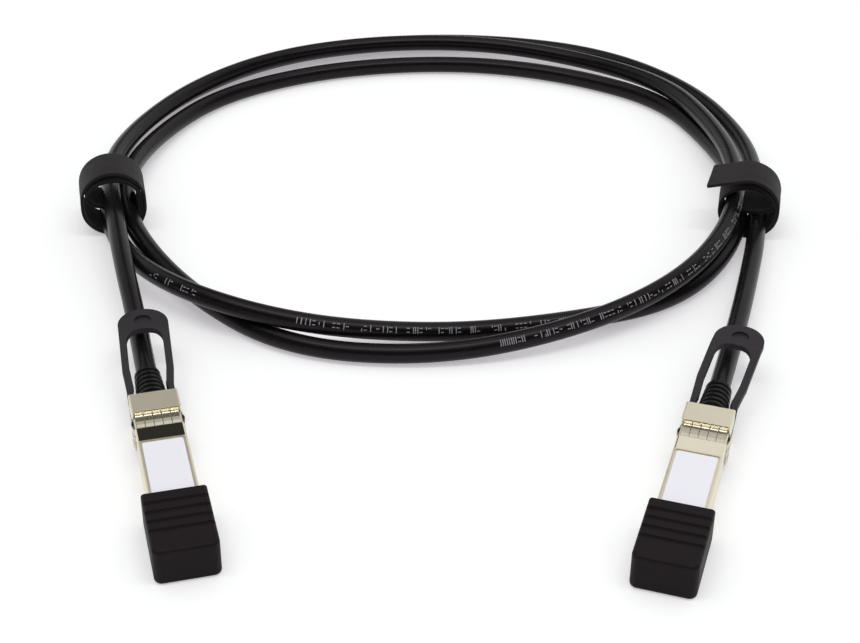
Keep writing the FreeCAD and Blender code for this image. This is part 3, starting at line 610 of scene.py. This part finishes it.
# %% Finish: one material
class Finish(Net):
    """One material, built on a Principled shader."""

    def __init__(self, name, **constants):
        self.material = bpy.data.materials.new(name)
        self.material.use_nodes = True
        super().__init__(self.material.node_tree)
        self.shader = self.tree.nodes["Principled BSDF"]
        for socket, value in constants.items():
            self.shader.inputs[socket.replace("_", " ")].default_value = value
        self.place = self.node("ShaderNodeTexCoord").outputs["Object"]

    def grain(self, size, detail=3.0, stretch=(1, 1, 1)):
        """Soft random spots of about this size in millimetres, stretched if asked."""
        scale = [1 / (size * MM * s) for s in stretch]
        spread = self.node("ShaderNodeMapping", None, {"Vector": self.place, "Scale": scale})
        inputs = {"Vector": spread.outputs[0], "Scale": 1.0, "Detail": detail}
        return Value(self, self.node("ShaderNodeTexNoise", None, inputs).outputs[0])

    def blend(self, factor, first, second):
        """Colour between first and second."""
        first, second = [(*c, 1.0) if isinstance(c, tuple) else c for c in (first, second)]
        inputs = {"Factor": factor, "A": first, "B": second}
        made = self.node("ShaderNodeMix", {"data_type": "RGBA"}, inputs)
        return next(s for s in made.outputs if s.enabled)

    def bump(self, height, depth):
        """Turns a height from 0 to 1 into small relief, depth millimetres deep."""
        inputs = {"Height": height, "Distance": depth * MM, "Strength": 1.0}
        return self.node("ShaderNodeBump", None, inputs).outputs[0]

    def set(self, **links):
        """Gives sockets of the shader their values or links."""
        for socket, value in links.items():
            self.connect(value, self.shader.inputs[socket.replace("_", " ")])

    def on(self, *pieces):
        """Gives this finish to pieces, or to CAD nodes by name."""
        for piece in pieces:
            if isinstance(piece, str):
                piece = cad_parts[piece]
            if not piece.material_slots:
                piece.data.materials.append(self.material)
            for slot in piece.material_slots:
                slot.material = self.material
        print(self.material.name, "on", len(pieces), "pieces")

    def on_both(self, *names):
        """Gives this finish to the same parts of both modules."""
        self.on(*[name + "_" + end for name in names for end in ENDS])


print("a Finish can also:", methods(Finish))

# %% [markdown]
# ## Black plastics and rubbers
# The jacket is an extruded plastic with a clean gloss that varies a little along it.
# The dust caps are soft rubber, dull, with a fine moulded texture. The pull tabs are a
# satin plastic a little lighter than the rest, and the ribbed sleeves are a harder
# rubber. All are nearly black, so what sets them apart is how they shine.

# %% Jacket and its ink
jacket = Finish("jacket", Specular_IOR_Level=0.18, Specular_Tint=(1.0, 0.9, 0.95, 1.0))
cloud = jacket.grain(3.0, detail=2.0)
pores = jacket.grain(0.35, detail=2.0)
jacket.set(Base_Color=jacket.blend(cloud, (0.0035, 0.0030, 0.0034), (0.0070, 0.0062, 0.0068)),
           Roughness=0.22 + cloud * 0.12, Normal=jacket.bump(pores, 0.006))
jacket.on(cable)

ink_finish = Finish("pale_ink", Roughness=0.6)
worn = ink_finish.grain(0.5)
ink_finish.set(Base_Color=ink_finish.blend(worn, (0.06, 0.055, 0.065), (0.42, 0.40, 0.44)))
ink_finish.on(print_marks)

# %% Caps, sleeves and tabs
rubber = Finish("cap_rubber", Specular_IOR_Level=0.13)
skin = rubber.grain(0.25, detail=2.0)
cloud = rubber.grain(4.0)
rubber.set(Base_Color=rubber.blend(cloud, (0.0070, 0.0040, 0.0050), (0.0108, 0.0068, 0.0082)),
           Roughness=0.5 + cloud * 0.14, Normal=rubber.bump(skin, 0.02))
rubber.on_both("dust_cap")

sleeve = Finish("boot_rubber", Specular_IOR_Level=0.2)
skin = sleeve.grain(0.3, detail=2.0)
sleeve.set(Base_Color=sleeve.blend(skin, (0.0030, 0.0026, 0.0030), (0.0070, 0.0062, 0.0070)),
           Roughness=0.36 + skin * 0.12, Normal=sleeve.bump(skin, 0.012))
sleeve.on_both("strain_relief")

satin = Finish("tab_plastic", Specular_IOR_Level=0.25)
skin = satin.grain(0.22, detail=2.0)
cloud = satin.grain(5.0)
satin.set(Base_Color=satin.blend(cloud, (0.017, 0.0140, 0.0165), (0.026, 0.0218, 0.0255)),
          Roughness=0.46 + cloud * 0.12, Normal=satin.bump(skin, 0.012))
satin.on_both("pull_tab")

# %% [markdown]
# ## The cloth of the ties
# The straps are woven, with looped pile on one side and small hooks on the other. The
# pile is soft and scatters light at a shallow angle, which is what sheen is for. A
# noise finer than a millimetre stands for the loops. Near the middle of the loop the
# colour is painted much darker: painted shade for the inner layers, where little light
# falls, which also stands for the duller hook side. So one finish serves both.

# %% The cloth
CLOTH_SHINE = {"Sheen_Weight": 0.12, "Sheen_Roughness": 0.5, "Specular_IOR_Level": 0.15}
LOOP_SHADE_R = 8.3
PILE_R = 9.4


def strap_cloth(end):
    """Looped pile outside; near the loop's middle the colour is painted darker as shade, and stands
    for the duller hook side too.
    """
    cloth = Finish("strap_cloth_" + end, **CLOTH_SHINE)
    x0, y0, turn, _, flat = TIES[end]
    x, y, z = cloth.split(cloth.place)
    across = (x - x0 * MM) * cos(turn) + (y - y0 * MM) * sin(turn)
    height = z - (TIE_INNER_R + TIE_T + TIE_PITCH / 2 + flat) * MM
    # Painted shade: within this distance of the loop's middle the colour fades to the near-black
    # below.
    inside = 1 - (across * across + height * height).above((LOOP_SHADE_R * MM) ** 2, (PILE_R * MM) ** 2)
    nap = cloth.grain(0.28, detail=4.0)
    cloud = cloth.grain(3.5)
    pile = cloth.blend(nap * 0.6 + cloud * 0.4, (0.0055, 0.0042, 0.0048), (0.019, 0.0150, 0.0168))
    cloth.set(Base_Color=cloth.blend(inside, pile, (0.0022, 0.0018, 0.0020)),
              Roughness=0.86 + nap * 0.1, Normal=cloth.bump(nap, 0.12))
    return cloth


for end in ENDS:
    strap_cloth(end).on(ties[end])

# %% [markdown]
# ## Metals
# The shells are die-cast and plated with nickel, a warm, pale metal. Die-casting leaves
# a faint grain and plating fills it, so the finish is a clear metal with slight changes
# of roughness. A band between the spring fingers and the label is polished. The
# fingers are stamped from thin bright steel and glint, so they are smoother too.

# %% Shells
COLLAR_END_Y = 13.95
FIELD_START_Y = 20.1
FADE_IN = 0.4
FADE_OUT = 0.6


def nickel_plate(end):
    """Satin nickel, with the polished band between the fingers and the label's recess."""
    plate = Finish("nickel_plate_" + end, Metallic=1.0)
    x0, y0, turn = MODULES[end]
    x, y, _ = plate.split(plate.place)
    along = (x - x0 * MM) * sin(turn) - (y - y0 * MM) * cos(turn)
    band = along.above(COLLAR_END_Y * MM, (COLLAR_END_Y + FADE_IN) * MM)
    band = band - along.above((FIELD_START_Y - FADE_OUT) * MM, FIELD_START_Y * MM)
    cast = plate.grain(0.45, detail=3.0)
    cloud = plate.grain(6.0)
    plate.set(Base_Color=plate.blend(cloud, (0.78, 0.72, 0.57), (0.84, 0.785, 0.64)),
              Roughness=(0.36 + cast * 0.14) * (1 - band * 0.8),
              Normal=plate.bump(cast * (1 - band), 0.008))
    return plate


for end in ENDS:
    nickel_plate(end).on("upper_shell_" + end, "lower_shell_" + end)

# %% Fingers, latch and small steel
fingers = Finish("finger_steel", Metallic=1.0)
rolled = fingers.grain(0.2, stretch=(1, 6, 1))
fingers.set(Base_Color=fingers.blend(rolled, (0.52, 0.48, 0.38), (0.64, 0.60, 0.49)),
            Roughness=0.2 + rolled * 0.12)
fingers.on_both("shielding_collar")

latch = Finish("latch_metal", Metallic=1.0)
cast = latch.grain(0.3)
latch.set(Base_Color=latch.blend(cast, (0.60, 0.57, 0.48), (0.70, 0.67, 0.58)),
          Roughness=0.3 + cast * 0.14)
latch.on_both("latch_rocker")

spring = Finish("spring_steel", Metallic=1.0)
rolled = spring.grain(0.15, stretch=(1, 8, 1))
spring.set(Base_Color=spring.blend(rolled, (0.50, 0.50, 0.50), (0.64, 0.64, 0.63)),
           Roughness=0.22 + rolled * 0.15)
spring.on_both("release_slider", "latch_spring")

steel = Finish("plain_steel", Metallic=1.0)
turned = steel.grain(0.12)
steel.set(Base_Color=steel.blend(turned, (0.44, 0.44, 0.43), (0.58, 0.58, 0.56)),
          Roughness=0.28 + turned * 0.12)
steel.on_both("shell_screws", "latch_pin")

tinned = Finish("tinned_sleeve", Metallic=1.0)
dents = tinned.grain(0.5)
tinned.set(Base_Color=tinned.blend(dents, (0.52, 0.49, 0.42), (0.66, 0.63, 0.55)),
           Roughness=0.34 + dents * 0.16)
tinned.on_both("crimp_ferrule")

foil = Finish("foil", Metallic=1.0)
creases = foil.grain(0.4, detail=4.0)
foil.set(Base_Color=foil.blend(creases, (0.66, 0.66, 0.67), (0.80, 0.80, 0.81)),
         Roughness=0.25 + creases * 0.2, Normal=foil.bump(creases, 0.03))
foil.on_both("twinax_send", "twinax_receive")

# %% [markdown]
# ## The card, its parts and the label
# The circuit card only shows at the open nose when a dust cap is off. It is green
# solder mask over copper, with gold contacts, a small black chip and tan ceramic parts.
# The label on each module is a white film; it is left without any name or mark.

# %% Card, contacts, chip, ceramics and label
mask = Finish("solder_mask", Roughness=0.35)
traces = mask.grain(1.2, stretch=(1, 5, 1)).above(0.45, 0.55)
mask.set(Base_Color=mask.blend(traces, (0.012, 0.10, 0.045), (0.020, 0.16, 0.075)),
         Normal=mask.bump(traces, 0.02))
mask.on_both("circuit_card")

gold = Finish("gold_plate", Metallic=1.0)
wiped = gold.grain(0.2, stretch=(1, 6, 1))
gold.set(Base_Color=gold.blend(wiped, (0.78, 0.56, 0.24), (0.90, 0.70, 0.36)),
         Roughness=0.2 + wiped * 0.15)
gold.on_both("card_pads")

epoxy = Finish("chip_epoxy")
speck = epoxy.grain(0.08)
epoxy.set(Base_Color=epoxy.blend(speck, (0.018, 0.018, 0.019), (0.035, 0.035, 0.037)),
          Roughness=0.5 + speck * 0.2)
epoxy.on_both("memory_chip")

ceramic = Finish("fired_ceramic")
speck = ceramic.grain(0.1)
ceramic.set(Base_Color=ceramic.blend(speck, (0.36, 0.27, 0.18), (0.46, 0.36, 0.26)),
            Roughness=0.45 + speck * 0.15)
ceramic.on_both("card_capacitors")

film = Finish("label_film", Coat_Weight=0.2, Coat_Roughness=0.3)
fibre = film.grain(0.5)
film.set(Base_Color=film.blend(fibre, (0.84, 0.83, 0.91), (0.88, 0.88, 0.93)),
         Roughness=0.38 + fibre * 0.1)
film.on_both("label")

# %% [markdown]
# ## Soft edges on the hard parts
# Nothing made in a mould or a press has a perfectly sharp edge. The CAD solids keep
# theirs plain, so a small Bevel modifier rounds what the eye would catch: the shells a
# little, the dust caps and the pull tabs more. The modifier works on the shape at
# render time and leaves the CAD mesh as it is.

# %% Round the edges
# The width of the rounding in millimetres, and its steps.
SOFT_EDGES = {
    "upper_shell_": (0.1, 2), "lower_shell_": (0.1, 2),
    "dust_cap_": (0.22, 2), "pull_tab_": (0.3, 3),
}
SHARP = radians(40)


def soften_edges(name, width, segments):
    """Rounds the edges that turn by more than the sharp angle."""
    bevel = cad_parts[name].modifiers.new("soft_edges", "BEVEL")
    bevel.width = width * MM
    bevel.segments = segments
    bevel.limit_method = "ANGLE"
    bevel.angle_limit = SHARP
    bevel.harden_normals = False
    bevel.use_clamp_overlap = True


for end in ENDS:
    for name, (width, segments) in SOFT_EDGES.items():
        soften_edges(name + end, width, segments)
print("bevels added to", len(SOFT_EDGES) * len(ENDS), "parts")

# %% [markdown]
# ## The bench and the light
# The picture has a plain white ground with faint, soft shadows, as in a light tent. A
# very large pale floor catches the shadows, and glows a little for the camera and in
# mirrors only. The Light Path node tells those rays from the rest, so the floor looks
# white while no more light falls on the object.

# %% Floor
FLOOR_SIZE = 4.0
FLOOR_DROP = 0.02
GLOW = 0.35

floor_mesh = bmesh.new()
bmesh.ops.create_grid(floor_mesh, x_segments=2, y_segments=2, size=FLOOR_SIZE)
floor = mesh_object("floor", floor_mesh)
floor.location.z = -FLOOR_DROP * MM
paper = Finish("white_paper", Roughness=0.9, Specular_IOR_Level=0.0)
rays = paper.node("ShaderNodeLightPath").outputs
seen = Value(paper, rays["Is Camera Ray"]) + rays["Is Glossy Ray"] + rays["Is Transmission Ray"]
paper.set(Base_Color=paper.blend(paper.grain(400.0), (0.70, 0.73, 0.71), (0.73, 0.76, 0.74)),
          Emission_Color=paper.blend(seen, (0.0, 0.0, 0.0), (1.0, 0.94, 1.0)),
          Emission_Strength=GLOW)
paper.on(floor)

# %% [markdown]
# ## A room for the metal to mirror
# The world gives even light from all round, and to the camera it is white. Plain white
# all round would make metal look like paper, so mirrors see a simple room instead: a
# pale backdrop near the ground, grey walls behind, a bright ceiling, and dark between
# them. It could be an image, but a few steps on the direction of the ray do as well,
# and each wall can be moved by one number.

# %% World
# Each pair is where a smooth step starts and ends, as a part of a unit direction.
DAYLIGHT = 0.75
DIM = 0.03
BACKDROP_TOP = (0.12, 0.34)
BEHIND = (0.1, 0.4)
WALL_TOP = (0.72, 0.85)
RIGHT_EDGE, RIGHT_GREY = (0.0, 0.06), 0.85
LEFT_EDGE, LEFT_GREY = (-0.32, -0.24), 0.7
CEILING_EDGE, CEILING_GREY = (0.8, 0.88), 1.15

world = bpy.data.worlds.new("light_tent")
scene.world = world
world.use_nodes = True
sky = Net(world.node_tree)
rays = sky.node("ShaderNodeLightPath").outputs
seen = Value(sky, rays["Is Camera Ray"]) + rays["Is Transmission Ray"]
mirrored = Value(sky, rays["Is Glossy Ray"])
side, back, up = sky.split(sky.node("ShaderNodeTexCoord").outputs["Generated"])
backdrop = 1 - up.above(*BACKDROP_TOP)
behind = back.above(*BEHIND) * (1 - up.above(*WALL_TOP))
right_wall = side.above(*RIGHT_EDGE) * RIGHT_GREY
left_wall = (1 - side.above(*LEFT_EDGE)) * LEFT_GREY
ceiling = up.above(*CEILING_EDGE) * CEILING_GREY
room = backdrop + (1 - backdrop) * (behind * (right_wall + left_wall) + ceiling + DIM)
level = DAYLIGHT + seen * (1 - DAYLIGHT) + mirrored * (room - DAYLIGHT)
background = sky.tree.nodes["Background"]
background.inputs["Strength"].default_value = 1.0
sky.connect(level, background.inputs["Color"])
print("world nodes:", len(sky.tree.nodes))

# %% [markdown]
# ## One lamp
# A black, glossy cable shows its shape by its highlights. One long, narrow strip lamp
# above gives each turn a thin bright line; a wider lamp would give a grey stripe.

# %% Strip lamp
STRIP_PLACE = Vector((0, -0.12, 1.1))
STRIP_AIM = Vector((0, 0.03, 0))
STRIP_SIZE = (1.2, 0.08)
STRIP_WATTS = 3.4

lamp = bpy.data.lights.new("strip_overhead", "AREA")
lamp.shape = "RECTANGLE"
lamp.size, lamp.size_y = STRIP_SIZE
lamp.energy = STRIP_WATTS
strip = bpy.data.objects.new("strip_overhead", lamp)
scene.collection.objects.link(strip)
strip.location = STRIP_PLACE
strip.rotation_euler = (STRIP_AIM - STRIP_PLACE).to_track_quat("-Z", "Y").to_euler()

# %% [markdown]
# ## The end
